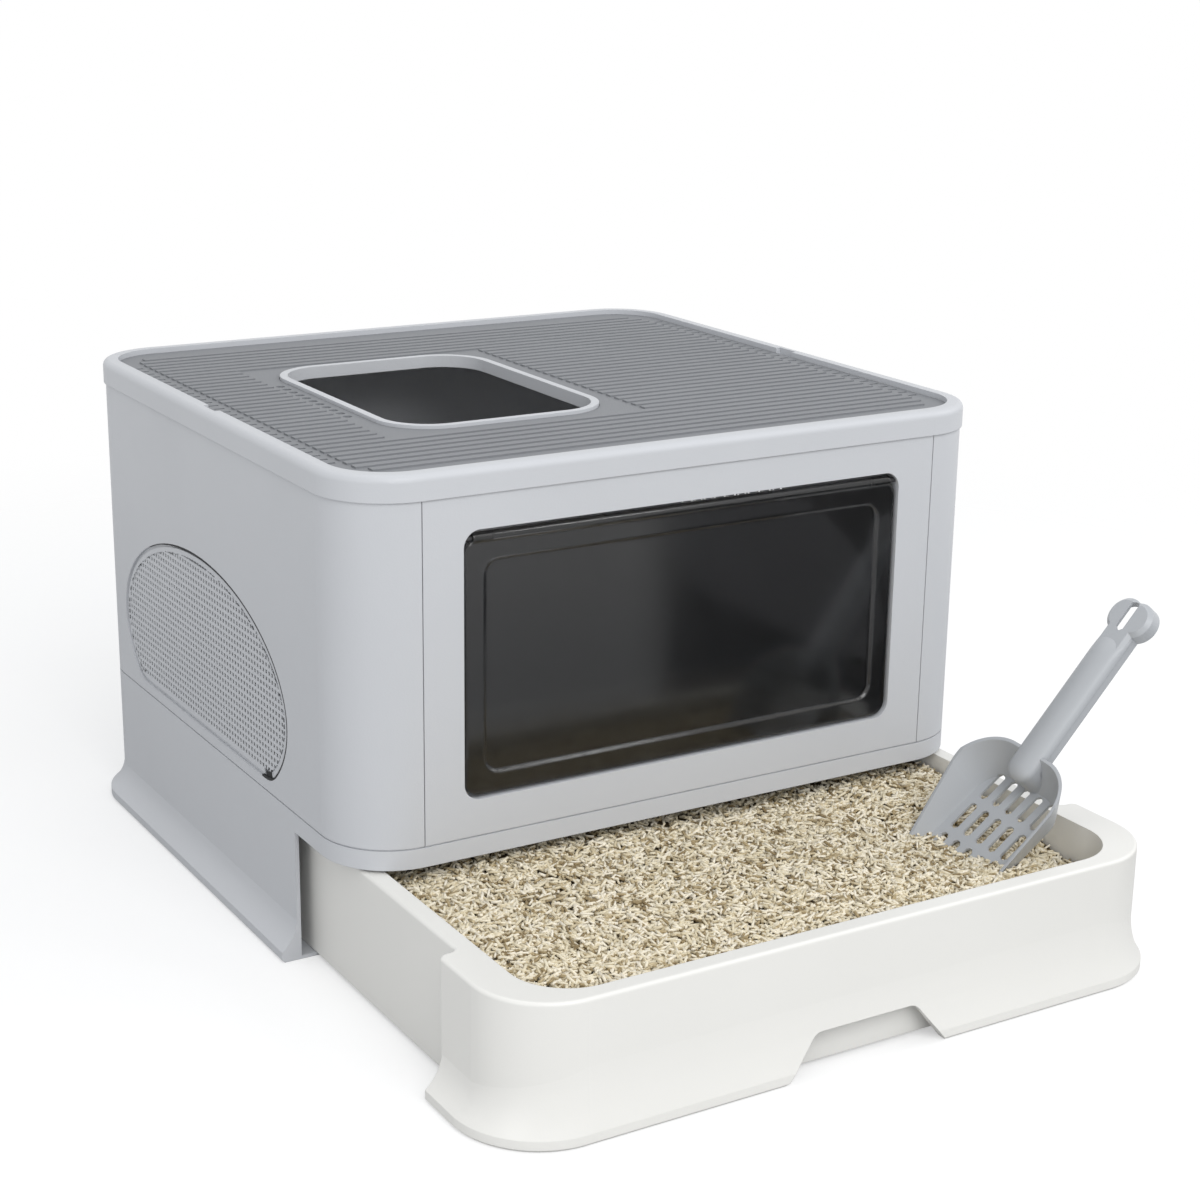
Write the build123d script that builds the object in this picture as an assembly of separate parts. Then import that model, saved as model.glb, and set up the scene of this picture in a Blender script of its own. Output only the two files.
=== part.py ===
"""Covered litter box: walls on a base, a lift-off lid, a swinging flap and a pull-out tray.

Millimetres, +X to the right seen from the front, front towards -Y, +Z up, floor at Z = 0.
"""
import os
from math import radians, sqrt, tan

from build123d import *

# Body: outside size, plan corners and the heights of its seams
body_w = 520.0
body_d = 496.0
body_h = 368.0
corner_r = 52.0
wall = 3.0
base_h = 111.0
header_h = 14.0
lid_h = 18.0
seam = 0.6
rebate = 1.0

# Base: side skirts, flared foot, floor plate and tray rails
skirt_back = 98.0
ledge_w = 14.0
floor_t = 2.5
foot_out = 12.0
foot_h = 38.0
foot_edge = 8.0
front_foot_out = 6.0
front_foot_h = 60.0
rail_h = 10.0
rail_back = 60.0

# Side vents: an ellipse cut off flat below, with rounded lower corners
vent_y = 20.0
vent_rise = 9.0
vent_mid = 50.0
vent_half_w = 162.0
vent_half_h = 85.0
vent_corner_r = 30.0
vent_ledge = 5.0
grille_t = 2.2
grille_gap = 0.9
grille_set = 1.0
grille_margin = 8.0
slot_pitch = 8.0
slot_h = 3.6
slot_l = 96.0
slot_bridge = 5.0
pry_w = 16.0
pry_h = 5.0

# Door opening, its lip and the flap that hangs in it
door_jamb = 30.0
door_sill = 27.0
door_head = 24.0
door_r = 12.0
lip_t = 3.0
lip_depth = 8.0
flap_gap = 1.4
flap_set = 1.5
flap_t = 3.0
border_w = 16.0
border_t = 6.0
border_bevel = 1.4
hinge_drop = 6.5
hinge_rail_r = 4.2
pin_r = 2.0
pin_fit = 0.05
pin_head_r = 3.0
pin_head_gap = 0.3
pin_head_t = 2.0
pin_in_flap = 14.0
hinge_rail_cut = 6.0

# Lid: overhang, rim, deck, locating lip, top exit and its collar
lid_over = 1.5
rim_w = 12.0
rim_round = 5.0
deck_drop = 6.0
deck_t = 2.5
locate_gap = 0.4
locate_t = 2.0
locate_h = 10.0
exit_x = -72.0
exit_w = 166.0
exit_d = 232.0
exit_r = 36.0
collar_w = 6.0
collar_rise = 4.4
notch_l = 22.0
notch_w = 4.0

# Mat: ribbed sheet lying in the lid, with drain holes
mat_t = 2.0
mat_gap = 0.4
rib_h = 1.2
rib_w = 7.0
rib_pitch = 12.0
rib_border = 16.0
rib_clear = 16.0
drain_w = 8.0
drain_h = 3.0
hole_r = 3.6
hole_x = -170.0
hole_first_y = -54.0
hole_count = 11

# Tray at rest, pulled out by its whole travel
travel = 216.0
tray_h = 95.0
tray_skin = 2.5
tray_gap = 1.0
tray_lift = 3.0
tray_narrow_w = 492.0
tray_back_y = 20.0
tray_wall = 13.0
cavity_r = 40.0
tray_back_r = 45.0
step_round = 6.0
tray_floor = 3.0
tray_round = 2.4
grip_low = 130.0
grip_top = 80.0
grip_h = 30.0
grip_r = 10.0

# Litter: level, edge gap and room round the part of the scoop that stands in it
litter_z = 80.0
litter_gap = 0.3
hollow_room = 3.0
hollow_run = 14.0

# Scoop: where its tip stands in the tray, which way it leans, its pan and handle
scoop_x = 143.0
scoop_back = 96.7
scoop_sink = 20.0
scoop_rest = 23.6
scoop_along = (0.787, -0.058, 0.614)
scoop_normal = (-0.617, -0.062, 0.785)
pan_l = 90.0
pan_half_w = 39.0
pan_tip_h = 9.0
pan_back_h = 28.0
pan_flare = 28.0
pan_t = 2.2
pan_back_r = 22.0
scoop_slot_l = 24.0
scoop_slot_w = 7.0
scoop_slot_pitch = 13.6
scoop_row_pitch = 30.0
handle_l = 128.0
handle_w = 25.0
handle_t = 12.0
handle_end_r = 14.0
handle_tilt = 13.0
handle_bevel = 3.0

# Heights and places that follow from the sizes above
header_z = base_h - header_h
lid_z = body_h - lid_h
deck_z = body_h - deck_drop
collar_z = deck_z + collar_rise
door_low = base_h + door_sill
door_top = lid_z - door_head
vent_flat_z = base_h + vent_rise
vent_z = vent_flat_z + vent_mid
half_w = body_w / 2
half_d = body_d / 2
seam_x = half_w - corner_r
skirt_front_y = -half_d + skirt_back
door_w = 2 * (seam_x - door_jamb)
inner_y = half_d - wall
hinge_z = door_top - hinge_drop
hinge_y = -half_d + flap_set + border_t / 2
tray_front_y = -half_d - travel
tray_step_y = tray_front_y + (half_d + skirt_front_y) - tray_gap
scoop_tip = (scoop_x, tray_front_y + scoop_back, litter_z - scoop_sink)
rim_in = rim_w - lid_over


def plan(inset):
    """Body outline seen from above, moved in by the inset."""
    return RectangleRounded(body_w - 2 * inset, body_d - 2 * inset, corner_r - inset)


def slab(sketch, low, high):
    """Upright block with the sketch as its plan."""
    return Pos(0, 0, low) * extrude(sketch, high - low)


def area(x0, x1, y0, y1):
    """Plain rectangle between two corners."""
    return Pos((x0 + x1) / 2, (y0 + y1) / 2) * Rectangle(x1 - x0, y1 - y0)


def upright(sketch, y_front, y_back):
    """Plate parallel to the front, drawn as X across and Z up."""
    return extrude(Plane.XZ.offset(-y_back) * sketch, y_back - y_front)


def sideways(sketch, x_low, x_high):
    """Plate parallel to the sides, drawn as Y across and Z up."""
    return extrude(Plane.YZ.offset(x_low) * sketch, x_high - x_low)


def rod(radius, x_low, x_high):
    """Round bar along X on the flap's hinge line."""
    bar = Rot(0, 90, 0) * Cylinder(radius, x_high - x_low)
    return Pos((x_low + x_high) / 2, hinge_y, hinge_z) * bar


def foot_section(out, high):
    """Cross-section of the flared foot: X outwards from the wall, Y up."""
    inside = -tray_skin / 2
    toe = foot_edge / 4
    return make_face([
        Edge.make_line((inside, 0, 0), (out - toe, 0, 0)),
        Edge.make_line((out - toe, 0, 0), (out, toe, 0)),
        Edge.make_line((out, toe, 0), (out, foot_edge, 0)),
        Edge.make_three_point_arc((out, foot_edge, 0), (out * 0.3, high * 0.48, 0), (0, high, 0)),
        Edge.make_line((0, high, 0), (inside, high, 0)),
        Edge.make_line((inside, high, 0), (inside, 0, 0)),
    ])


def foot(y_start, y_end, out, high):
    """Flared foot along a side and round its corner, changing to another size at the end."""
    turn = corner_r if y_end > y_start else -corner_r
    y_turn = y_end - turn
    diagonal = sqrt(0.5)
    middle = (seam_x + corner_r * diagonal, y_turn + turn * diagonal, 0)
    side = Edge.make_line((half_w, y_start, 0), (half_w, y_turn, 0))
    bend = Wire([Edge.make_three_point_arc((half_w, y_turn, 0), middle, (seam_x, y_end, 0))])
    facing = 1 if y_end > y_start else -1
    start = Plane(origin=(half_w, y_start, 0), x_dir=(1, 0, 0), z_dir=(0, -1, 0))
    corner = Plane(origin=(half_w, y_turn, 0), x_dir=(1, 0, 0), z_dir=(0, -1, 0))
    finish = Plane(origin=(seam_x, y_end, 0), x_dir=(0, facing, 0), z_dir=(facing, 0, 0))
    full = foot_section(foot_out, foot_h)
    last = foot_section(out, high)
    half = sweep(start * full, path=Wire([side]))
    half += sweep([corner * full, finish * last], path=bend, multisection=True)
    half += extrude(finish * last, seam_x, dir=(-1, 0, 0))
    return half + mirror(half, Plane.YZ)


# Base: band under the walls, skirts behind the tray front, floor plate, rails and foot
ring = slab(plan(0) - plan(wall), 0, base_h)
gate = slab(area(-half_w, half_w, -half_d, skirt_front_y), 0, header_z)
base = ring - gate
base += slab(plan(0) - plan(ledge_w), base_h - wall, base_h)
base += slab(plan(wall / 2) & area(-half_w, half_w, skirt_front_y, half_d), 0, floor_t)
rail_in = tray_narrow_w / 2 + tray_gap
rail = slab(area(rail_in, half_w - wall / 2, skirt_front_y + rail_back, inner_y), 0, rail_h)
rail &= slab(plan(wall / 2), 0, rail_h)
base += rail
base += mirror(rail, Plane.YZ)
base += foot(skirt_front_y, half_d, foot_out, foot_h)


def vent(inset):
    """Vent outline moved in by the inset, drawn as Y across and Z up."""
    shape = Pos(vent_y, vent_z) * Ellipse(vent_half_w - inset, vent_half_h - inset)
    low = vent_flat_z + inset
    shape &= area(vent_y - body_d, vent_y + body_d, low, body_h)
    corners = shape.vertices().group_by(Axis.Y)[0]
    return fillet(corners, vent_corner_r - inset)


# Side panel: straight side with its two rounded corners, and a recess for the grille
side_area = area(-half_w, -seam_x - seam / 2, -half_d, half_d)
left_side = slab((plan(0) - plan(wall)) & side_area, base_h + rebate, lid_z)
left_side += slab((plan(rebate) - plan(wall)) & side_area, base_h, base_h + rebate)
left_side -= sideways(vent(0), -half_w, -half_w + grille_t)
left_side -= sideways(vent(vent_ledge), -half_w, -half_w + wall)
right_side = mirror(left_side, Plane.YZ)


def slot_rows():
    """Rows of slots that fill the vent, each row as long as the outline is there."""
    slots = []
    reach_w = vent_half_w - grille_margin
    reach_h = vent_half_h - grille_margin
    row_z = vent_flat_z + grille_margin + slot_h / 2
    while row_z < vent_z + reach_h - slot_h:
        off = abs(row_z - vent_z) + slot_h / 2
        half = reach_w * sqrt(1 - (off / reach_h) ** 2)
        if row_z < vent_flat_z + vent_corner_r:
            half -= (vent_flat_z + vent_corner_r - row_z) * 0.35
        count = max(1, round((2 * half + slot_bridge) / (slot_l + slot_bridge)))
        length = (2 * half + slot_bridge) / count - slot_bridge
        for i in range(count):
            slot_y = vent_y - half + length / 2 + i * (length + slot_bridge)
            slots.append(Pos(slot_y, row_z) * Rectangle(length, slot_h))
        row_z += slot_pitch
    return slots


# Grille: slotted plate that snaps into the side panel, with a pry notch at its front corner
grille_face = vent(grille_gap) - slot_rows()
pry_y = vent_y - vent_half_w * 0.86
grille_face -= Pos(pry_y, vent_flat_z + vent_corner_r * 0.55) * Rectangle(pry_w, pry_h)
left_grille = sideways(grille_face, -half_w + grille_set, -half_w + grille_t)
right_grille = mirror(left_grille, Plane.YZ)


def flat_wall():
    """Flat wall between the side panels, drawn at the front, with laps behind the seams."""
    edge = seam_x - seam / 2
    sheet = upright(area(-edge, edge, base_h + rebate, lid_z), -half_d, -inner_y)
    sheet += upright(area(-edge, edge, base_h, base_h + rebate), -half_d + rebate, -inner_y)
    lap_y = -inner_y + 2 * seam
    lap = upright(area(edge - 8, edge, base_h, lid_z - locate_h - wall), -inner_y, lap_y + wall / 2)
    lap += upright(area(edge - 8, edge + 6, base_h, lid_z - locate_h - wall), lap_y, lap_y + wall / 2)
    return sheet + lap + mirror(lap, Plane.YZ)


# Front panel: flat wall with the door opening, a lip round it and the bores for the pins
door_mid_z = (door_low + door_top) / 2
door_h = door_top - door_low
opening = Pos(0, door_mid_z) * RectangleRounded(door_w, door_h, door_r)
lip = Pos(0, door_mid_z) * RectangleRounded(door_w + 2 * lip_t, door_h + 2 * lip_t, door_r + lip_t)
front = flat_wall()
front += upright(lip, -inner_y, -inner_y + lip_depth)
front -= upright(opening, -half_d - wall, -inner_y + lip_depth)
front -= rod(pin_r + pin_fit, -door_w / 2 - 2 * lip_t, door_w / 2 + 2 * lip_t)
head_x = door_w / 2 + lip_t
pocket = rod(pin_head_r + pin_head_gap, head_x, head_x + pin_head_t + pin_head_gap)
front -= pocket
front -= mirror(pocket, Plane.YZ)

# Back panel: the same flat wall turned round
back = Rot(0, 0, 180) * flat_wall()

# Flap: thin panel, bevelled border and a round hinge rail along its top
flap_w = door_w - 2 * flap_gap
flap_low = door_low + flap_gap
flap_mid_z = (flap_low + hinge_z) / 2
flap_h = hinge_z - flap_low
panel = Pos(0, flap_mid_z) * RectangleRounded(flap_w, flap_h, door_r - flap_gap)
pane_w = flap_w - 2 * border_w
pane = Pos(0, flap_mid_z) * RectangleRounded(pane_w, flap_h - 2 * border_w, door_r - flap_gap)
border = upright(panel - pane, hinge_y - border_t / 2, hinge_y + border_t / 2)
border = chamfer(border.edges().filter_by(Axis.Y, reverse=True), border_bevel)
flap = border + upright(panel, hinge_y - flap_t / 2, hinge_y + flap_t / 2)
rail_half = flap_w / 2 - hinge_rail_cut
flap += rod(hinge_rail_r, -rail_half, rail_half)
for side in (-1, 1):
    ends = sorted((side * (rail_half - pin_in_flap - flap_gap), side * (flap_w / 2 + 1)))
    flap -= rod(pin_r + pin_fit, *ends)

# Pins that carry the flap, each with a head outside the lip
right_pin = rod(pin_r, rail_half - pin_in_flap, head_x + pin_head_t)
right_pin += rod(pin_head_r, head_x, head_x + pin_head_t)
left_pin = mirror(right_pin, Plane.YZ)


def top_exit(grow):
    """Outline of the exit in the lid, made larger all round."""
    return Pos(exit_x, 0) * RectangleRounded(exit_w + 2 * grow, exit_d + 2 * grow, exit_r + grow)


# Lid: rim, deck with a collar round the exit, and a lip that drops inside the walls
lid = slab(plan(-lid_over) - plan(rim_in), lid_z, body_h)
lid = fillet(lid.faces().sort_by(Axis.Z)[-1].outer_wire().edges(), rim_round)
lid += slab(plan(rim_in - 1), deck_z - deck_t, deck_z)
lid += slab(plan(wall + locate_gap) - plan(wall + locate_gap + locate_t), lid_z - locate_h, lid_z + 1)
lid += slab(top_exit(collar_w), deck_z - 2 * deck_t, collar_z)
lid -= slab(top_exit(0), lid_z, body_h)
notch_x = half_w - rim_in
for side in (-1, 1):
    x_ends = sorted((side * (notch_x - 1), side * (notch_x + notch_w)))
    lid -= slab(area(*x_ends, -notch_l / 2, notch_l / 2), deck_z, body_h + 1)

# Mat: sheet round the collar with ribs, drain slots along both edges and a row of holes
mat_edge = rim_in + mat_gap
sheet_plan = plan(mat_edge) - top_exit(collar_w + mat_gap)
rib_x = half_w - mat_edge
rib_count = int((body_d - 2 * (mat_edge + rib_border)) / rib_pitch)
first_rib_y = -(rib_count - 1) / 2 * rib_pitch
strips = []
drains = []
rib_reach = exit_w / 2 + collar_w + rib_clear
rib_gap = (exit_x - rib_reach, exit_x + rib_reach)
for i in range(rib_count):
    rib_y = first_rib_y + i * rib_pitch
    end_x = rib_x - rib_border
    in_corner = abs(rib_y) + rib_w / 2 - (half_d - corner_r)
    if in_corner > 0:
        end_x = min(end_x, seam_x + sqrt((corner_r - mat_edge - rib_border) ** 2 - in_corner ** 2))
    runs = [(-end_x, end_x)]
    if abs(rib_y) < exit_d / 2 + collar_w + rib_clear:
        runs = [(-end_x, rib_gap[0]), (rib_gap[1], end_x)]
    for run_x in runs:
        strips.append(area(*run_x, rib_y - rib_w / 2, rib_y + rib_w / 2))
for i in range(rib_count - 1):
    groove_y = first_rib_y + (i + 0.5) * rib_pitch
    if abs(groove_y) < half_d - corner_r - rib_pitch:
        for side in (-1, 1):
            drain_x = side * (rib_x - rib_border / 2)
            drains.append(Pos(drain_x, groove_y) * Rectangle(drain_w, drain_h))
for i in range(hole_count):
    drains.append(Pos(hole_x, hole_first_y + i * rib_pitch) * RegularPolygon(hole_r, 8))
mat = slab(sheet_plan - drains, deck_z, deck_z + mat_t)
mat += slab(Sketch() + strips, deck_z + mat_t, deck_z + mat_t + rib_h)

# Tray: wide front that closes the base, narrow run between the skirts, double walls
shift = Pos(0, tray_front_y + half_d)
front_part = (shift * plan(0)) & area(-half_w, half_w, tray_front_y, tray_step_y)
narrow = tray_narrow_w / 2
run_start_y = tray_step_y - tray_wall


def run(inset):
    """Plan of the narrow part of the tray, moved in by the inset."""
    shape = area(-narrow + inset, narrow - inset, run_start_y, tray_back_y - inset)
    return fillet(shape.vertices().group_by(Axis.Y)[-1], tray_back_r - inset)


cavity_l = tray_back_y - tray_front_y - 2 * tray_wall
cavity_w = tray_narrow_w - 2 * tray_wall
cavity_y = (tray_back_y + tray_front_y) / 2


def cavity(grow):
    """Plan of the space for the litter, made larger all round."""
    return Pos(0, cavity_y) * RectangleRounded(cavity_w + 2 * grow, cavity_l + 2 * grow, cavity_r + grow)


floor_z = tray_lift + tray_floor
outline = front_part + run(0)
steps = outline.vertices().filter_by(lambda v: abs(v.Y - tray_step_y) < seam)
outline = fillet(steps, step_round)
tray = slab(outline & area(-half_w, half_w, tray_front_y, tray_step_y), 0, tray_h)
tray += slab(outline, tray_lift, tray_h)
tray = fillet(tray.faces().sort_by(Axis.Z)[-1].outer_wire().edges(), tray_round)
tray -= slab(cavity(0), floor_z, tray_h + 1)
inner_y_end = tray_step_y - step_round - tray_skin
inner_front = (shift * plan(tray_skin)) & area(-half_w, half_w, tray_front_y, inner_y_end)
tray -= slab((inner_front + run(tray_skin)) - cavity(tray_skin), -1, tray_h - tray_skin)
tray -= slab(inner_front, -1, tray_lift)
tray += foot(tray_step_y - step_round, tray_front_y, front_foot_out, front_foot_h)
grip = Polyline(
    (-grip_low / 2, -1), (-grip_top / 2, grip_h), (grip_top / 2, grip_h), (grip_low / 2, -1), close=True
)
grip_face = make_face(grip)
grip_face = fillet(grip_face.vertices().group_by(Axis.Y)[-1], grip_r)
tray -= upright(grip_face, tray_front_y - foot_out - 1, tray_front_y + tray_skin + 1)

# Litter: filling of the tray with a hollow round the standing scoop
pan_top_half = pan_half_w + pan_back_h * tan(radians(pan_flare))
hollow_x = (scoop_tip[0] - hollow_run, scoop_tip[0] + scoop_sink / scoop_along[2] + hollow_run)
hollow_y = (scoop_tip[1] - pan_top_half - hollow_run, scoop_tip[1] + pan_top_half + hollow_room)
litter = slab(cavity(-litter_gap), floor_z, litter_z)
litter -= slab(area(*hollow_x, *hollow_y), litter_z - scoop_rest, litter_z + 1)

# Scoop: slotted pan with flared walls that rise to the back, seen along its own floor
pan_plan = area(-pan_l, pan_l, -pan_half_w, pan_half_w)
pan_plan = fillet(pan_plan.vertices(), pan_back_r)
inner_plan = offset(pan_plan, -pan_t * 0.65)
pan = extrude(pan_plan, pan_back_h, taper=-pan_flare)
pan -= Pos(0, 0, pan_t) * extrude(inner_plan, pan_back_h, taper=-pan_flare)
slope = make_face(Polyline(
    (-2 * pan_l, -1), (0, -1), (0, pan_tip_h), (pan_l * 0.88, pan_back_h),
    (pan_l * 0.88, 2 * pan_back_h), (-2 * pan_l, 2 * pan_back_h), close=True
))
pan -= upright(slope, -2 * pan_half_w, 2 * pan_half_w)
slot_end = scoop_slot_w * 0.3
slot_shape = chamfer(Rectangle(scoop_slot_l, scoop_slot_w).vertices(), slot_end)
for i in range(3):
    for j in range(5):
        slot_u = pan_l * 0.17 + scoop_row_pitch * i
        slot_v = scoop_slot_pitch * (j - 2)
        pan -= Pos(slot_u, slot_v, -1) * extrude(slot_shape, pan_t + 2)

# Handle: channel set on the pan's back wall, with a widened end and a slot to hang it by
handle_plan = area(0, handle_l, -handle_w / 2, handle_w / 2)
handle_plan += Pos(handle_l, handle_end_r * 0.35) * Circle(handle_end_r)
handle_plan += Pos(handle_l, -handle_end_r * 0.45) * Circle(handle_end_r)
handle = extrude(handle_plan, handle_t)
handle = chamfer(handle.faces().sort_by(Axis.Z)[-1].outer_wire().edges(), handle_bevel)
handle -= extrude(offset(handle_plan, -pan_t), handle_t - pan_t)
handle -= Pos(handle_l, 0) * extrude(slot_shape, handle_t + 1)
pan_back_l = pan_l + (pan_back_h - handle_t) * tan(radians(pan_flare))
handle = Pos(pan_back_l - pan_t / 2, 0, pan_back_h - handle_t - 1) * Rot(0, -handle_tilt, 0) * handle
stand = Plane(origin=scoop_tip, x_dir=scoop_along, z_dir=scoop_normal)
scoop = stand.location * (pan + handle)

nodes = {
    "base_frame": base,
    "left_side_panel": left_side,
    "right_side_panel": right_side,
    "front_panel": front,
    "back_panel": back,
    "left_vent_grille": left_grille,
    "right_vent_grille": right_grille,
    "door_flap": flap,
    "left_flap_pin": left_pin,
    "right_flap_pin": right_pin,
    "lid_frame": lid,
    "lid_mat": mat,
    "tray": tray,
    "litter": litter,
    "scoop": scoop,
}
os.makedirs("parts", exist_ok=True)
for name, shape in nodes.items():
    export_step(shape, f"parts/{name}.step")
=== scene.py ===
import math
import random

import bpy
from mathutils import Matrix, Vector
from mathutils.geometry import intersect_point_line


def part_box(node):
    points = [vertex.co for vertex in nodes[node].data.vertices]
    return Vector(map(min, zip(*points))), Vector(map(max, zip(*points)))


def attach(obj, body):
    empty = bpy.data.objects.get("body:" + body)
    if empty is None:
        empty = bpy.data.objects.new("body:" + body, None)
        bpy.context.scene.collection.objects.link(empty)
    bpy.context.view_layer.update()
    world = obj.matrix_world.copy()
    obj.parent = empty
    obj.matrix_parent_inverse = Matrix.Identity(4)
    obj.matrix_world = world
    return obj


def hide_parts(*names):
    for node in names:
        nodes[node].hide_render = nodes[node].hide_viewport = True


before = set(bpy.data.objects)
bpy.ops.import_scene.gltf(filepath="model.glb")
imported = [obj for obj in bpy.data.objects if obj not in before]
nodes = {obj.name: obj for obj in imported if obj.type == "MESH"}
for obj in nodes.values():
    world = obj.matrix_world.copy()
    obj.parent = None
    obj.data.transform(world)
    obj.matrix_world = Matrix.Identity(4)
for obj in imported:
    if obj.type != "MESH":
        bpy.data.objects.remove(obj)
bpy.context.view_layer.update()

# Camera. A longish lens at about table height, in front and to the left,
# tipped down so that the lid, the left vent and the open tray all show.
fitted_yaw = math.radians(31.14)
fitted_pitch = math.radians(16.81)
fitted_roll = math.radians(-0.81)
fitted_place = Vector((-0.8330, -1.5038, 0.7082))
look = Vector((
    math.sin(fitted_yaw) * math.cos(fitted_pitch),
    math.cos(fitted_yaw) * math.cos(fitted_pitch),
    -math.sin(fitted_pitch),
))
level = Vector((math.cos(fitted_yaw), -math.sin(fitted_yaw), 0.0))
down = look.cross(level)
across = level * math.cos(fitted_roll) + down * math.sin(fitted_roll)
under = down * math.cos(fitted_roll) - level * math.sin(fitted_roll)
camera_data = bpy.data.cameras.new("photo_camera")
camera_data.sensor_width = 36.0
camera_data.lens = 67.83
camera_data.clip_end = 50.0
camera = bpy.data.objects.new("photo_camera", camera_data)
bpy.context.scene.collection.objects.link(camera)
turn = Matrix((across, -under, -look)).transposed().to_4x4()
camera.matrix_world = Matrix.Translation(fitted_place) @ turn
bpy.context.scene.camera = camera

# Studio. A pale seamless floor under soft lamps, and a white room that the camera,
# reflections and clear plastic see, while it lights the object only gently.
# A small spot makes the flap's edges glint, and a felt sheet darkens half of its reflection.
def linear(hex_colour):
    """sRGB hex to the linear RGBA that a colour socket takes."""
    channels = [int(hex_colour[i:i + 2], 16) / 255 for i in (1, 3, 5)]
    return [c / 12.92 if c <= 0.04045 else ((c + 0.055) / 1.055) ** 2.4 for c in channels] + [1.0]


def add_node(tree, kind, settings=None, links=None, **inputs):
    """Adds one shader node, sets its properties and sockets, and links what feeds it."""
    node = tree.nodes.new(kind)
    for name, value in (settings or {}).items():
        setattr(node, name, value)
    for name, value in inputs.items():
        node.inputs[name.replace("_", " ")].default_value = value
    for socket, source in (links or {}).items():
        tree.links.new(source, node.inputs[socket])
    return node


def new_material(name):
    """New material whose node tree is empty."""
    material = bpy.data.materials.new(name)
    material.use_nodes = True
    material.node_tree.nodes.clear()
    return material, material.node_tree


world = bpy.data.worlds.new("white_room")
bpy.context.scene.world = world
world.use_nodes = True
world.node_tree.nodes.clear()
tree = world.node_tree
seen = add_node(tree, "ShaderNodeLightPath")
glossy = add_node(tree, "ShaderNodeMath", {"operation": "MAXIMUM"},
                  {0: seen.outputs["Is Camera Ray"], 1: seen.outputs["Is Glossy Ray"]})
direct = add_node(tree, "ShaderNodeMath", {"operation": "MAXIMUM"},
                  {0: glossy.outputs[0], 1: seen.outputs["Is Transmission Ray"]})
fill_light = add_node(tree, "ShaderNodeBackground", Color=linear("#F4F6F8"), Strength=0.66)
white_wall = add_node(tree, "ShaderNodeBackground", Color=(1.0, 1.0, 1.0, 1.0), Strength=1.0)
room = add_node(tree, "ShaderNodeMixShader", None, {
    0: direct.outputs[0], 1: fill_light.outputs[0], 2: white_wall.outputs[0]})
add_node(tree, "ShaderNodeOutputWorld", None, {"Surface": room.outputs[0]})

bpy.context.scene.view_settings.view_transform = "Standard"
for lamp_name, place, aim, size, power in (
    ("front_softbox", (-0.4, -2.6, 2.2), (0.0, -0.2, 0.15), 2.0, 42.0),
    ("right_softbox", (2.4, -1.0, 1.8), (0.0, -0.1, 0.15), 1.6, 17.0),
    ("left_low_softbox", (-2.3, -1.5, 0.7), (-0.1, -0.3, 0.1), 1.4, 9.0),
    ("top_softbox", (-0.2, 0.6, 2.6), (0.0, 0.0, 0.2), 2.0, 8.0),
    ("edge_spot", (1.1, -1.78, 1.71), (-0.09, -0.25, 0.14), 0.35, 2.4),
):
    lamp_data = bpy.data.lights.new(lamp_name, "AREA")
    lamp_data.shape = "DISK"
    lamp_data.size = size
    lamp_data.energy = power
    lamp = bpy.data.objects.new(lamp_name, lamp_data)
    bpy.context.scene.collection.objects.link(lamp)
    lamp.location = place
    lamp.rotation_euler = (Vector(aim) - Vector(place)).to_track_quat("-Z", "Y").to_euler()

bpy.ops.object.select_all(action="DESELECT")
bpy.ops.mesh.primitive_circle_add(vertices=96, radius=2.4, fill_type="NGON")
floor = bpy.context.object
floor.name = "studio_floor"
# Matt white paper: it keeps the soft shadow under the object and fades into the white room.
material, tree = new_material("white_paper_floor")
where = add_node(tree, "ShaderNodeTexCoord")
seen = add_node(tree, "ShaderNodeLightPath")
reach = add_node(tree, "ShaderNodeVectorMath", {"operation": "LENGTH"},
                 {0: where.outputs["Object"]})
fade = add_node(tree, "ShaderNodeMapRange", {"interpolation_type": "SMOOTHSTEP"},
                {"Value": reach.outputs["Value"]})
fade.inputs["From Min"].default_value = 0.7
fade.inputs["From Max"].default_value = 1.5
paper = add_node(tree, "ShaderNodeBsdfDiffuse", Color=linear("#C8C8C8"))
glow = add_node(tree, "ShaderNodeEmission", None, {"Strength": seen.outputs["Is Camera Ray"]},
                Color=(0.45, 0.45, 0.45, 1.0))
lit_paper = add_node(tree, "ShaderNodeAddShader", None, {0: paper.outputs[0], 1: glow.outputs[0]})
clear = add_node(tree, "ShaderNodeBsdfTransparent")
sheet = add_node(tree, "ShaderNodeMixShader", None, {
    0: fade.outputs[0], 1: lit_paper.outputs[0], 2: clear.outputs[0]})
add_node(tree, "ShaderNodeOutputMaterial", None, {"Surface": sheet.outputs[0]})
floor.data.materials.append(material)

# The felt sheet lies in front, to the right, along the camera's mirrored line of sight;
# reflections alone see it, so that the right half of the smoked pane stays dark.
bpy.ops.object.select_all(action="DESELECT")
bpy.ops.mesh.primitive_plane_add(size=1.0, location=(0.86, -0.87, 0.004),
                                 rotation=(0.0, 0.0, math.radians(32.9)))
flag = bpy.context.object
flag.name = "reflection_flag"
flag.scale = (0.8, 1.2, 1.0)
bpy.ops.object.transform_apply(location=True, rotation=True, scale=True)
material, tree = new_material("black_felt")
felt = add_node(tree, "ShaderNodeBsdfPrincipled", Base_Color=linear("#101010"), Roughness=0.95)
add_node(tree, "ShaderNodeOutputMaterial", None, {"Surface": felt.outputs[0]})
flag.data.materials.append(material)
flag.visible_camera = False
flag.visible_diffuse = False
flag.visible_shadow = False
flag.visible_transmission = False

# Walls, base and lid frame. Injection-moulded ABS in a light cool grey: flat panels and
# rounded corner panels that lap at their seams and stand in the base under the lid's rim.
# The mould's spark-eroded texture gives a dull, even sheen; edges are softly broken.
cloud_mm = 111.0
handled_mm = 35.7


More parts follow.
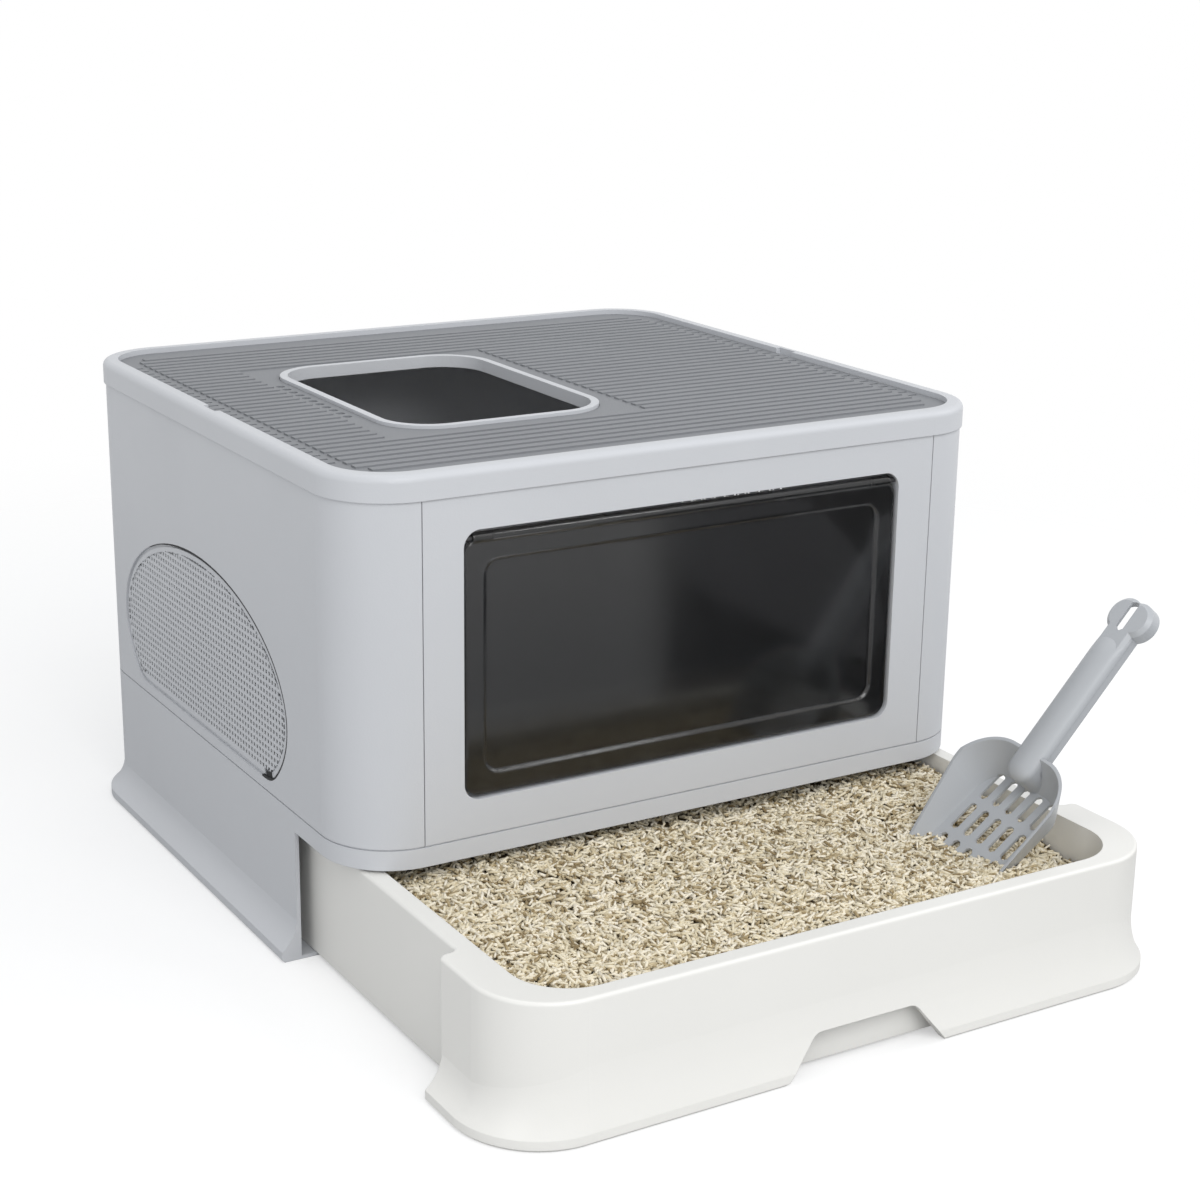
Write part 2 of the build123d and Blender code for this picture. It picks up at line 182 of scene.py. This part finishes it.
def moulded_plastic(name, colour, shade, roughness, grain_mm, bump):
    """Moulded plastic: faint cloudy colour, a fine pebbled skin, handling marks, soft edges.

    The pebbles are drawn coarser than the real texture, so that they show in the render.
    """
    material, tree = new_material(name)
    where = add_node(tree, "ShaderNodeTexCoord")
    cloud = add_node(tree, "ShaderNodeTexNoise", None, {"Vector": where.outputs["Object"]},
                     Scale=1000.0 / cloud_mm, Detail=3.0)
    tint = add_node(tree, "ShaderNodeMix", {"data_type": "RGBA"}, {0: cloud.outputs[0]})
    tint.inputs[6].default_value = linear(shade)
    tint.inputs[7].default_value = linear(colour)
    pebble = add_node(tree, "ShaderNodeTexNoise", None, {"Vector": where.outputs["Object"]},
                      Scale=1000.0 / grain_mm, Detail=1.0)
    broken_edge = add_node(tree, "ShaderNodeBevel", {"samples": 4}, Radius=0.0007)
    relief = add_node(tree, "ShaderNodeBump", None,
                      {"Height": pebble.outputs[0], "Normal": broken_edge.outputs[0]},
                      Strength=bump, Distance=0.0002)
    handled = add_node(tree, "ShaderNodeTexNoise", None, {"Vector": where.outputs["Object"]},
                       Scale=1000.0 / handled_mm, Detail=4.0, Distortion=0.6)
    sheen = add_node(tree, "ShaderNodeMath", {"operation": "ADD"},
                     {0: pebble.outputs[0], 1: handled.outputs[0]})
    dull = add_node(tree, "ShaderNodeMapRange", None, {"Value": sheen.outputs[0]})
    dull.inputs["From Max"].default_value = 2.0
    dull.inputs["To Min"].default_value = roughness - 0.1
    dull.inputs["To Max"].default_value = roughness + 0.1
    plastic = add_node(tree, "ShaderNodeBsdfPrincipled", None, {
        "Base Color": tint.outputs[2], "Roughness": dull.outputs[0],
        "Normal": relief.outputs[0]}, IOR=1.5)
    add_node(tree, "ShaderNodeOutputMaterial", None, {"Surface": plastic.outputs[0]})
    return material


def paint(node_name, material):
    """Gives a carried-over solid its finish."""
    data = nodes[node_name].data
    data.materials.clear()
    data.materials.append(material)


grey_abs = moulded_plastic("light_grey_abs", "#C6C8CC", "#C1C3C7", 0.45, 1.2, 0.25)
for name in ("base_frame", "left_side_panel", "right_side_panel",
             "front_panel", "back_panel", "lid_frame"):
    paint(name, grey_abs)

# Vent grilles. Each is one thin moulding in the wall's ABS: a fine mesh of small holes in a
# narrow border, snapped into a recess over a near-black strip of painted shade that shows as
# the dark line of the open joint and narrows to the back. A corner of the border is open,
# where a blade pries it out; a near-black patch of painted shade lies behind it.
vent_low, vent_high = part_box("left_vent_grille")
vent_mid_y = (vent_low[1] + vent_high[1]) / 2
joint_w = 0.0026
vent_trim = 0.0018
vent_half_w = (vent_high[1] - vent_low[1]) / 2 - vent_trim
vent_arch_h = 0.0841
vent_half_h = vent_arch_h - vent_trim
vent_mid_z = vent_high[2] - vent_trim - vent_half_h
vent_base_z = vent_low[2] + vent_trim
vent_corner_r = 0.017
border_w = 0.004
border_t = 0.0011
hole_pitch = 0.0052
hole_web = 0.0012
mesh_t = border_t * 0.8
pry_y = vent_mid_y - 0.124
pry_half_w = 0.007
pry_top_z = vent_base_z + 0.01
hook_end_y = vent_mid_y - 0.105
hook_top_z = vent_base_z + 0.02
# Painted shade: a near-black strip in the gap round the grille, and a near-black patch behind its
# pry notch.
gap_shade_narrows_y = vent_mid_y + 0.04
gap_shade_end_y = vent_mid_y + 0.1
gap_shade_end_loss = 0.96
gap_shade_w = 0.0014
gap_shade_t = 0.002
gap_shade_face_x = vent_low[0] - 0.00095
notch_shade_w = 0.009
notch_shade_t = 0.0001
notch_shade_face_x = vent_high[0] - 0.0002


def thicken(obj, thickness):
    """Gives a flat sheet its thickness, inwards from its outer face."""
    solid = obj.modifiers.new("thickness", "SOLIDIFY")
    solid.thickness = thickness
    solid.offset = 1.0
    bpy.context.view_layer.objects.active = obj
    bpy.ops.object.modifier_apply(modifier=solid.name)


def vent_plate(grow, x):
    """Flat plate in the vent's outline, an ellipse cut off below with rounded corners."""
    base_z = vent_base_z - grow
    bpy.ops.object.select_all(action="DESELECT")
    bpy.ops.mesh.primitive_circle_add(vertices=120, radius=1.0, fill_type="NGON",
                                      rotation=(math.pi / 2, 0.0, math.pi / 2))
    plate = bpy.context.object
    bpy.ops.object.transform_apply(location=False, rotation=True, scale=False)
    bpy.ops.object.mode_set(mode="EDIT")
    bpy.ops.mesh.select_all(action="SELECT")
    bpy.ops.transform.resize(value=(1.0, vent_half_w + grow, vent_half_h + grow))
    bpy.ops.transform.translate(value=(x, vent_mid_y, vent_mid_z))
    bpy.ops.mesh.bisect(plane_co=(0.0, 0.0, base_z), plane_no=(0.0, 0.0, 1.0), clear_inner=True)
    bpy.ops.object.mode_set(mode="OBJECT")
    ends = sorted((v for v in plate.data.vertices if v.co.z < base_z + 2e-4), key=lambda v: v.co.y)
    for v in plate.data.vertices:
        v.select = v.index in (ends[0].index, ends[-1].index)
    bpy.ops.object.mode_set(mode="EDIT")
    bpy.ops.mesh.select_mode(type="VERT")
    bpy.ops.mesh.bevel(offset=vent_corner_r, segments=8, affect="VERTICES")
    return plate


def inside(edge, point):
    """True where a point lies within a closed line."""
    within = False
    for a, b in zip(edge, edge[1:] + edge[:1]):
        if (a.y > point.y) != (b.y > point.y):
            crossing = a.x + (point.y - a.y) / (b.y - a.y) * (b.x - a.x)
            within = within != (point.x < crossing)
    return within


def nearest(edge, point):
    """Nearest place on a closed line."""
    places = []
    for a, b in zip(edge, edge[1:] + edge[:1]):
        place, share = intersect_point_line(point, a, b)
        places.append(place.xy if 0.0 < share < 1.0 else (a if share <= 0.0 else b))
    return min(places, key=lambda place: (place - point).length)


def vent_ring(grow, x, width, thickness, left_out, lost_width):
    """Ring of the vent's outline without the faces left out, and the line of its inner edge.

    lost_width gives the share of its width that the ring loses at a place.
    """
    ring = vent_plate(grow, x)
    bpy.ops.object.mode_set(mode="OBJECT")
    outer_edge = [ring.data.vertices[i].co.yz for i in ring.data.polygons[0].vertices]
    bpy.ops.object.mode_set(mode="EDIT")
    bpy.ops.mesh.select_mode(type="FACE")
    bpy.ops.mesh.select_all(action="SELECT")
    bpy.ops.mesh.inset(thickness=width)
    bpy.ops.object.mode_set(mode="OBJECT")
    middle = max(ring.data.polygons, key=lambda face: face.area)
    inner_edge = [ring.data.vertices[i].co.yz for i in middle.vertices]
    for i in middle.vertices:
        v = ring.data.vertices[i]
        v.co.y, v.co.z = v.co.yz.lerp(nearest(outer_edge, v.co.yz), lost_width(v.co))
    for face in ring.data.polygons:
        face.select = face.index == middle.index or left_out(face.center)
    bpy.ops.object.mode_set(mode="EDIT")
    bpy.ops.mesh.delete(type="FACE")
    bpy.ops.object.mode_set(mode="OBJECT")
    thicken(ring, thickness)
    return ring, inner_edge


def pried(place):
    """True at the open corner of the border, low at the front."""
    return abs(place.y - pry_y) < pry_half_w and place.z < pry_top_z


def bare(place):
    """True where the grille hooks in along the bottom, or sits tight at the back: no painted
    shade.
    """
    hooked = place.z < hook_top_z and place.y > hook_end_y
    return hooked or place.y > gap_shade_end_y


def pinched(place):
    """Share of its width that the painted shade strip loses towards its end at the back."""
    way = (place.y - gap_shade_narrows_y) / (gap_shade_end_y - gap_shade_narrows_y)
    return min(max(way, 0.0), gap_shade_end_loss)


def even(place):
    """No width is lost: the ring is as wide all round."""
    return 0.0


def vent_mesh(edge):
    """Grid of square holes, trimmed to the inner edge of the border."""
    columns = int(2 * vent_half_w / hole_pitch)
    rows = int(2 * vent_half_h / hole_pitch)
    bpy.ops.object.select_all(action="DESELECT")
    bpy.ops.mesh.primitive_grid_add(x_subdivisions=columns, y_subdivisions=rows, size=1.0,
                                    rotation=(math.pi / 2, 0.0, math.pi / 2))
    grid = bpy.context.object
    bpy.ops.object.transform_apply(location=False, rotation=True, scale=False)
    bpy.ops.object.mode_set(mode="EDIT")
    bpy.ops.mesh.select_mode(type="FACE")
    bpy.ops.mesh.select_all(action="SELECT")
    bpy.ops.transform.resize(value=(1.0, columns * hole_pitch, rows * hole_pitch))
    bpy.ops.transform.translate(value=(vent_low[0], vent_mid_y, vent_mid_z))
    bpy.ops.object.mode_set(mode="OBJECT")
    within = [inside(edge, v.co.yz) for v in grid.data.vertices]
    for face in grid.data.polygons:
        face.select = not any(within[i] for i in face.vertices)
    bpy.ops.object.mode_set(mode="EDIT")
    bpy.ops.mesh.delete(type="FACE")
    bpy.ops.mesh.select_all(action="SELECT")
    bpy.ops.mesh.inset(thickness=hole_web, use_individual=True)
    bpy.ops.mesh.delete(type="FACE")
    bpy.ops.object.mode_set(mode="OBJECT")
    for v in grid.data.vertices:
        if not inside(edge, v.co.yz):
            v.co.y, v.co.z = nearest(edge, v.co.yz)
    thicken(grid, mesh_t)
    return grid


def join(keeper, other):
    """Makes one mesh of two."""
    bpy.ops.object.select_all(action="DESELECT")
    other.select_set(True)
    keeper.select_set(True)
    bpy.context.view_layer.objects.active = keeper
    bpy.ops.object.join()


def settle(piece, name, mirrored):
    """Mirrors a right-hand piece, turns its faces outwards and fixes it to the base."""
    piece.name = name
    bpy.ops.object.select_all(action="DESELECT")
    piece.select_set(True)
    bpy.context.view_layer.objects.active = piece
    if mirrored:
        bpy.ops.transform.resize(value=(-1.0, 1.0, 1.0), center_override=(0.0, 0.0, 0.0))
    bpy.ops.object.transform_apply(location=True, rotation=True, scale=True)
    bpy.ops.object.mode_set(mode="EDIT")
    bpy.ops.mesh.select_all(action="SELECT")
    bpy.ops.mesh.normals_make_consistent(inside=False)
    bpy.ops.object.mode_set(mode="OBJECT")
    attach(piece, "base")


# Painted shade: a dull, near-black strip and patch that stand in for the shade in the open
# joint round the grille and behind its pry notch.
gap_shade_paint = moulded_plastic("painted_gap_shade", "#2E2F31", "#262729", 0.85, 0.9, 0.8)
for hand, mirrored in (("left", False), ("right", True)):
    border, inner_edge = vent_ring(0.0, vent_low[0], border_w, border_t, pried, even)
    join(border, vent_mesh(inner_edge))
    settle(border, hand + "_vent_mesh", mirrored)
    border.data.materials.append(grey_abs)
    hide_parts(hand + "_vent_grille")
    # Painted shade in the open joint round the grille and behind its pry notch.
    gap_shade_strip = vent_ring(joint_w, gap_shade_face_x, gap_shade_w, gap_shade_t, bare, pinched)[0]
    notch_shade_patch = vent_ring(joint_w, notch_shade_face_x, notch_shade_w, notch_shade_t, lambda place: not pried(place), even)[0]
    join(gap_shade_strip, notch_shade_patch)
    settle(gap_shade_strip, hand + "_vent_painted_gap_shade", mirrored)
    gap_shade_strip.data.materials.append(gap_shade_paint)

# Drain mat. A darker sheet of softer polypropylene that drops into the lid round the exit;
# its ribs scrape off grains that are carried out and its slots let them fall back.
# The matt, slightly waxy skin hardly shines, so the ribs read as fine light and dark lines.
mat_plastic = moulded_plastic("mid_grey_mat_polypropylene", "#818387", "#7B7D81", 0.6, 1.5, 0.3)
paint("lid_mat", mat_plastic)

# Flap. A pane of smoked polycarbonate with a bevelled border, hung on two dark pins.
# It looks almost black and glossy, and whatever is lit inside glimmers through faintly;
# wiping has left slightly duller streaks.
streak_w_mm = 33.3
streak_h_mm = 111.0
material, tree = new_material("smoked_polycarbonate")
where = add_node(tree, "ShaderNodeTexCoord")
stretch = add_node(tree, "ShaderNodeMapping", None, {"Vector": where.outputs["Object"]},
                   Scale=(1000.0 / streak_w_mm, 1000.0 / streak_w_mm, 1000.0 / streak_h_mm))
streak = add_node(tree, "ShaderNodeTexNoise", None, {"Vector": stretch.outputs[0]},
                  Scale=1.0, Detail=3.0)
wiped = add_node(tree, "ShaderNodeMapRange", None, {"Value": streak.outputs[0]})
wiped.inputs["To Min"].default_value = 0.05
wiped.inputs["To Max"].default_value = 0.18
# Rounded and polished edges: where the softened normal leaves the face, the gloss is stronger.
broken_edge = add_node(tree, "ShaderNodeBevel", {"samples": 8}, Radius=0.0025)
facing = add_node(tree, "ShaderNodeNewGeometry")
turned = add_node(tree, "ShaderNodeVectorMath", {"operation": "DOT_PRODUCT"},
                  {0: broken_edge.outputs[0], 1: facing.outputs["Normal"]})
polished = add_node(tree, "ShaderNodeMapRange", None, {"Value": turned.outputs["Value"]})
polished.inputs["From Min"].default_value = 1.0
polished.inputs["From Max"].default_value = 0.9
polished.inputs["To Min"].default_value = 0.5
polished.inputs["To Max"].default_value = 0.9
pane = add_node(tree, "ShaderNodeBsdfPrincipled", None, {
    "Roughness": wiped.outputs[0], "Normal": broken_edge.outputs[0],
    "Specular IOR Level": polished.outputs[0]},
    Base_Color=linear("#606062"), Transmission_Weight=1.0, IOR=1.585)
add_node(tree, "ShaderNodeOutputMaterial", None, {"Surface": pane.outputs[0]})
paint("door_flap", material)
# Turned acetal rod: dark and waxy, hardly seen between the flap and the front panel.
pin_plastic = moulded_plastic("dark_acetal_pins", "#3A3A3C", "#343436", 0.35, 2.0, 0.05)
for name in ("left_flap_pin", "right_flap_pin"):
    paint(name, pin_plastic)

# Tray. Warm white polypropylene, moulded with double walls, a broad flat rim and a finger
# grip under its front; it slides in the base on two rails.
# The skin is smooth and slightly waxy, with a broad soft highlight along the rounded rim.
white_pp = moulded_plastic("white_tray_polypropylene", "#E9E8E4", "#E5E4E0", 0.38, 1.8, 0.1)
paint("tray", white_pp)

# Litter. Short pressed pellets of plant fibre, poured in and lightly raked, pale beige
# with browner ones among them. Loose pellets, each a small rod, lie in three heaps over
# a packed bed that fills the tray to near its rim.
bed_low, bed_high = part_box("litter")
bed_mid_x = (bed_low[0] + bed_high[0]) / 2
bed_mid_y = (bed_low[1] + bed_high[1]) / 2
bed_w = bed_high[0] - bed_low[0]
bed_l = bed_high[1] - bed_low[1]
bed_corner_r = 0.040
bed_wall_gap = 0.001
bed_sink = 0.0024
rake_rise = 0.003
rake_depth = 0.0018
heap_split_y = -0.236
front_heap_n = 9800
back_heap_n = 9000
pellet_wall_gap = 0.0035
pellet_sides = 5
pellet_r = 0.00098
pellet_girths = (0.8, 1.15)
pellet_lengths = (0.0045, 0.0095)
pellet_lifts = (-0.002, 0.0018)
pellet_lean = 0.3
fibre_mm = 1.111
clump_mm = 3.03
dice = random.Random(7)


def hollow(x, y, depth, place, reach):
    """Depth of a soft hollow, deepest at its place and fading out over its reach."""
    return depth * math.exp(-((x - place[0]) / reach[0]) ** 2 - ((y - place[1]) / reach[1]) ** 2)


def bed_height(x, y):
    """Height of the surface: waves 300 to 400 mm long from raking, and hollows by the scoop."""
    wave = math.sin(x * 21.0 + 0.7) * math.cos(y * 17.0 + 0.4) + 0.6 * math.sin(x * 9.0 - y * 13.0)
    dug = hollow(x, y, 0.009, (0.150, -0.360), (0.045, 0.050))
    corner = hollow(x, y, 0.017, (0.225, -0.400), (0.035, 0.055))
    return bed_high[2] + rake_rise + rake_depth * wave - dug - corner


def in_bed(x, y, inset):
    """True inside the tray's rounded hollow."""
    dx = max(0.0, abs(x - bed_mid_x) - (bed_w / 2 - bed_corner_r))
    dy = max(0.0, abs(y - bed_mid_y) - (bed_l / 2 - bed_corner_r))
    return math.hypot(dx, dy) < bed_corner_r - inset


def pellet_heap(name, x_ends, y_ends, count):
    """Many loose pellets in one mesh: short rods, each with its own tone."""
    points, faces, tones = [], [], []
    while len(tones) < count * 2 * pellet_sides:
        x = dice.uniform(*x_ends)
        y = dice.uniform(*y_ends)
        length = dice.uniform(*pellet_lengths)
        heading = dice.uniform(0.0, 2 * math.pi)
        tilt = dice.gauss(0.0, pellet_lean)
        lift = dice.uniform(*pellet_lifts)
        tone = dice.random()
        girth = pellet_r * dice.uniform(*pellet_girths)
        if not in_bed(x, y, pellet_wall_gap):
            continue
        axis = Vector((math.cos(heading) * math.cos(tilt),
                       math.sin(heading) * math.cos(tilt), math.sin(tilt)))
        side = axis.cross(Vector((0.0, 0.0, 1.0))).normalized()
        up = side.cross(axis)
        middle = Vector((x, y, bed_height(x, y) + lift))
        first = len(points)
        for along in (-0.5, 0.5):
            for k in range(pellet_sides):
                angle = k * 2 * math.pi / pellet_sides
                ring = (side * math.cos(angle) + up * math.sin(angle)) * girth
                points.append(middle + axis * (along * length) + ring)
                tones.append(tone)
        for k in range(pellet_sides):
            a = first + k
            b = first + (k + 1) % pellet_sides
            faces.append((a, b, b + pellet_sides, a + pellet_sides))
        faces.append(tuple(first + k for k in reversed(range(pellet_sides))))
        faces.append(tuple(first + pellet_sides + k for k in range(pellet_sides)))
    mesh = bpy.data.meshes.new(name)
    mesh.from_pydata(points, [], faces)
    mesh.attributes.new("tone", "FLOAT", "POINT").data.foreach_set("value", tones)
    for face in mesh.polygons:
        face.use_smooth = len(face.vertices) == 4
    heap = bpy.data.objects.new(name, mesh)
    bpy.context.scene.collection.objects.link(heap)
    return heap


def bed_of_litter():
    """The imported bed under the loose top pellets: a grid raised to the raked surface."""
    bpy.ops.object.select_all(action="DESELECT")
    bpy.ops.mesh.primitive_grid_add(x_subdivisions=90, y_subdivisions=90, size=1.0)
    bed = bpy.context.object
    bed.name = "litter_bed"
    bpy.ops.object.mode_set(mode="EDIT")
    bpy.ops.mesh.select_mode(type="FACE")
    bpy.ops.mesh.select_all(action="SELECT")
    bpy.ops.transform.resize(value=(bed_w, bed_l, 1.0))
    bpy.ops.transform.translate(value=(0.0, bed_mid_y, bed_high[2]))
    bpy.ops.object.mode_set(mode="OBJECT")
    for face in bed.data.polygons:
        face.select = not in_bed(face.center.x, face.center.y, bed_wall_gap)
    bpy.ops.object.mode_set(mode="EDIT")
    bpy.ops.mesh.delete(type="FACE")
    bpy.ops.mesh.select_all(action="SELECT")
    bpy.ops.mesh.extrude_region_move(
        TRANSFORM_OT_translate={"value": (0.0, 0.0, bed_low[2] - bed_high[2])})
    bpy.ops.object.mode_set(mode="OBJECT")
    for v in bed.data.vertices:
        if v.co.z > (bed_low[2] + bed_high[2]) / 2:
            v.co.z = bed_height(v.co.x, v.co.y) - bed_sink
    bpy.ops.object.mode_set(mode="EDIT")
    bpy.ops.mesh.select_all(action="SELECT")
    bpy.ops.mesh.normals_make_consistent(inside=False)
    bpy.ops.object.mode_set(mode="OBJECT")
    return bed


# Pressed plant fibre: matt and speckled, straw to cream, with some brown husks.
material, tree = new_material("pressed_plant_pellets")
where = add_node(tree, "ShaderNodeTexCoord")
tone = add_node(tree, "ShaderNodeAttribute", {"attribute_name": "tone"})
fibre = add_node(tree, "ShaderNodeTexNoise", None, {"Vector": where.outputs["Object"]},
                 Scale=1000.0 / fibre_mm, Detail=2.0)
mixed = add_node(tree, "ShaderNodeMath", {"operation": "MULTIPLY_ADD"},
                 {0: fibre.outputs[0], 2: tone.outputs["Fac"]})
mixed.inputs[1].default_value = 0.25
shades = add_node(tree, "ShaderNodeValToRGB", None, {"Fac": mixed.outputs[0]})
ramp = shades.color_ramp
ramp.elements[0].position = 0.08
ramp.elements[0].color = linear("#6E5A3A")
ramp.elements[1].position = 1.0
ramp.elements[1].color = linear("#F1E9D7")
for place, colour in ((0.24, "#AC9A76"), (0.42, "#DACEB1"), (0.75, "#EAE1CA")):
    ramp.elements.new(place).color = linear(colour)
relief = add_node(tree, "ShaderNodeBump", None, {"Height": fibre.outputs[0]},
                  Strength=0.4, Distance=0.0003)
husk = add_node(tree, "ShaderNodeBsdfPrincipled", None, {
    "Base Color": shades.outputs[0], "Normal": relief.outputs[0]}, Roughness=0.75, IOR=1.45)
add_node(tree, "ShaderNodeOutputMaterial", None, {"Surface": husk.outputs[0]})
pellet_fibre = material

# Painted shade: the bed under the loose pellets is dark brown, standing in for the shade
# in the gaps between them, so that the loose pellets stand out over it.
material, tree = new_material("litter_bed_painted_gap_shade")
where = add_node(tree, "ShaderNodeTexCoord")
clump = add_node(tree, "ShaderNodeTexVoronoi", None, {"Vector": where.outputs["Object"]},
                 Scale=1000.0 / clump_mm)
shades = add_node(tree, "ShaderNodeValToRGB", None, {"Fac": clump.outputs["Distance"]})
shades.color_ramp.elements[0].color = linear("#6E5C3C")
shades.color_ramp.elements[1].color = linear("#2E2416")
relief = add_node(tree, "ShaderNodeBump", None, {"Height": clump.outputs["Distance"]},
                  Strength=0.8, Distance=0.001)
husk = add_node(tree, "ShaderNodeBsdfPrincipled", None, {
    "Base Color": shades.outputs[0], "Normal": relief.outputs[0]}, Roughness=0.85, IOR=1.45)
add_node(tree, "ShaderNodeOutputMaterial", None, {"Surface": husk.outputs[0]})

bed = bed_of_litter()
bed.data.materials.append(material)
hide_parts("litter")
front_ends = (bed_low[1], heap_split_y)
back_ends = (heap_split_y, bed_high[1])
heaps = [
    pellet_heap("litter_front_left_pellets", (bed_low[0], 0.0), front_ends, front_heap_n),
    pellet_heap("litter_front_right_pellets", (0.0, bed_high[0]), front_ends, front_heap_n),
    pellet_heap("litter_back_pellets", (bed_low[0], bed_high[0]), back_ends, back_heap_n),
]
for heap in heaps:
    heap.data.materials.append(pellet_fibre)
for piece in [bed] + heaps:
    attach(piece, "tray")

# Scoop. Moulded in one piece of mid-grey ABS, its slotted pan pushed into the litter.
# Its skin is smoother than the walls', so the bevelled handle carries a clear highlight.
scoop_abs = moulded_plastic("scoop_abs", "#B2B5B9", "#ACAFB3", 0.36, 1.6, 0.12)
paint("scoop", scoop_abs)

# Scoop grip. The rounded back of the handle, which swells over the flat channel, runs down
# the pan's back wall as a thumb-shaped boss and fades out before the hanging slot.
# It is one moulding with the scoop; its sections follow the handle, drawn here in millimetres.
pan_tip = Vector((143.0, -367.3, 60.0))
pan_normal = Vector((-0.617, -0.062, 0.785)).normalized()
pan_along = Vector((0.787, -0.058, 0.614))
pan_along = (pan_along - pan_normal * pan_along.dot(pan_normal)).normalized()
pan_across = pan_normal.cross(pan_along)
pan_length = 90.0
wall_t = 2.5
wall_flare = math.radians(28.0)
handle_tilt = math.radians(13.0)
foot_along = 97.41
foot_rise = 15.0
grip_half_w = 12.8
grip_shoulder = 8.0
grip_crown = 7.0
grip_seat = 6.0
nose_start = -3.0
nose_length = 11.0
fade_start = 95.0
fade_length = 20.0
arc_steps = 14
grip_foot = pan_tip + pan_along * foot_along + pan_normal * foot_rise
grip_axis = pan_along * math.cos(handle_tilt) + pan_normal * math.sin(handle_tilt)
grip_out = pan_normal * math.cos(handle_tilt) - pan_along * math.sin(handle_tilt)
stations = [-13.8, -13.0, -11.5, -9.0, -6.0, -3.0, 0.0, 4.0, 8.0,
            25.0, 50.0, 75.0, 95.0, 102.0, 108.0, 112.0, 115.0]
points = []
for station in stations:
    nose = math.sqrt(1.0 - (min(station - nose_start, 0.0) / nose_length) ** 2)
    fade = 1.0 - (max(station - fade_start, 0.0) / fade_length) ** 2
    past_pan = foot_along + math.cos(handle_tilt) * station + wall_t - pan_length
    wall_height = max(past_pan / math.tan(wall_flare), 2.0)
    seat = (wall_height - foot_rise) / math.cos(handle_tilt) - math.tan(handle_tilt) * station
    seat = min(seat, grip_seat)
    section = [(-grip_half_w * nose, seat)]
    for k in range(arc_steps + 1):
        angle = math.pi * k / arc_steps
        section.append((-grip_half_w * nose * math.cos(angle),
                        grip_shoulder + grip_crown * nose * fade * math.sin(angle)))
    section.append((grip_half_w * nose, seat))
    for wide, out in section:
        place = grip_foot + grip_axis * station + pan_across * wide + grip_out * out
        points.append(place / 1000.0)
faces = []
loop_n = len(section)
for i in range(len(stations) - 1):
    for k in range(loop_n):
        a, b = i * loop_n + k, i * loop_n + (k + 1) % loop_n
        faces.append((a, b, b + loop_n, a + loop_n))
faces.append(tuple(reversed(range(loop_n))))
faces.append(tuple(range((len(stations) - 1) * loop_n, len(stations) * loop_n)))
mesh = bpy.data.meshes.new("scoop_grip")
mesh.from_pydata(points, [], faces)
grip = bpy.data.objects.new("scoop_grip", mesh)
bpy.context.scene.collection.objects.link(grip)
bpy.ops.object.select_all(action="DESELECT")
grip.select_set(True)
bpy.context.view_layer.objects.active = grip
bpy.ops.object.mode_set(mode="EDIT")
bpy.ops.mesh.select_all(action="SELECT")
bpy.ops.mesh.normals_make_consistent(inside=False)
bpy.ops.object.mode_set(mode="OBJECT")
bpy.ops.object.shade_smooth_by_angle(angle=math.radians(50.0))
mesh.materials.append(scoop_abs)
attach(grip, "scoop")
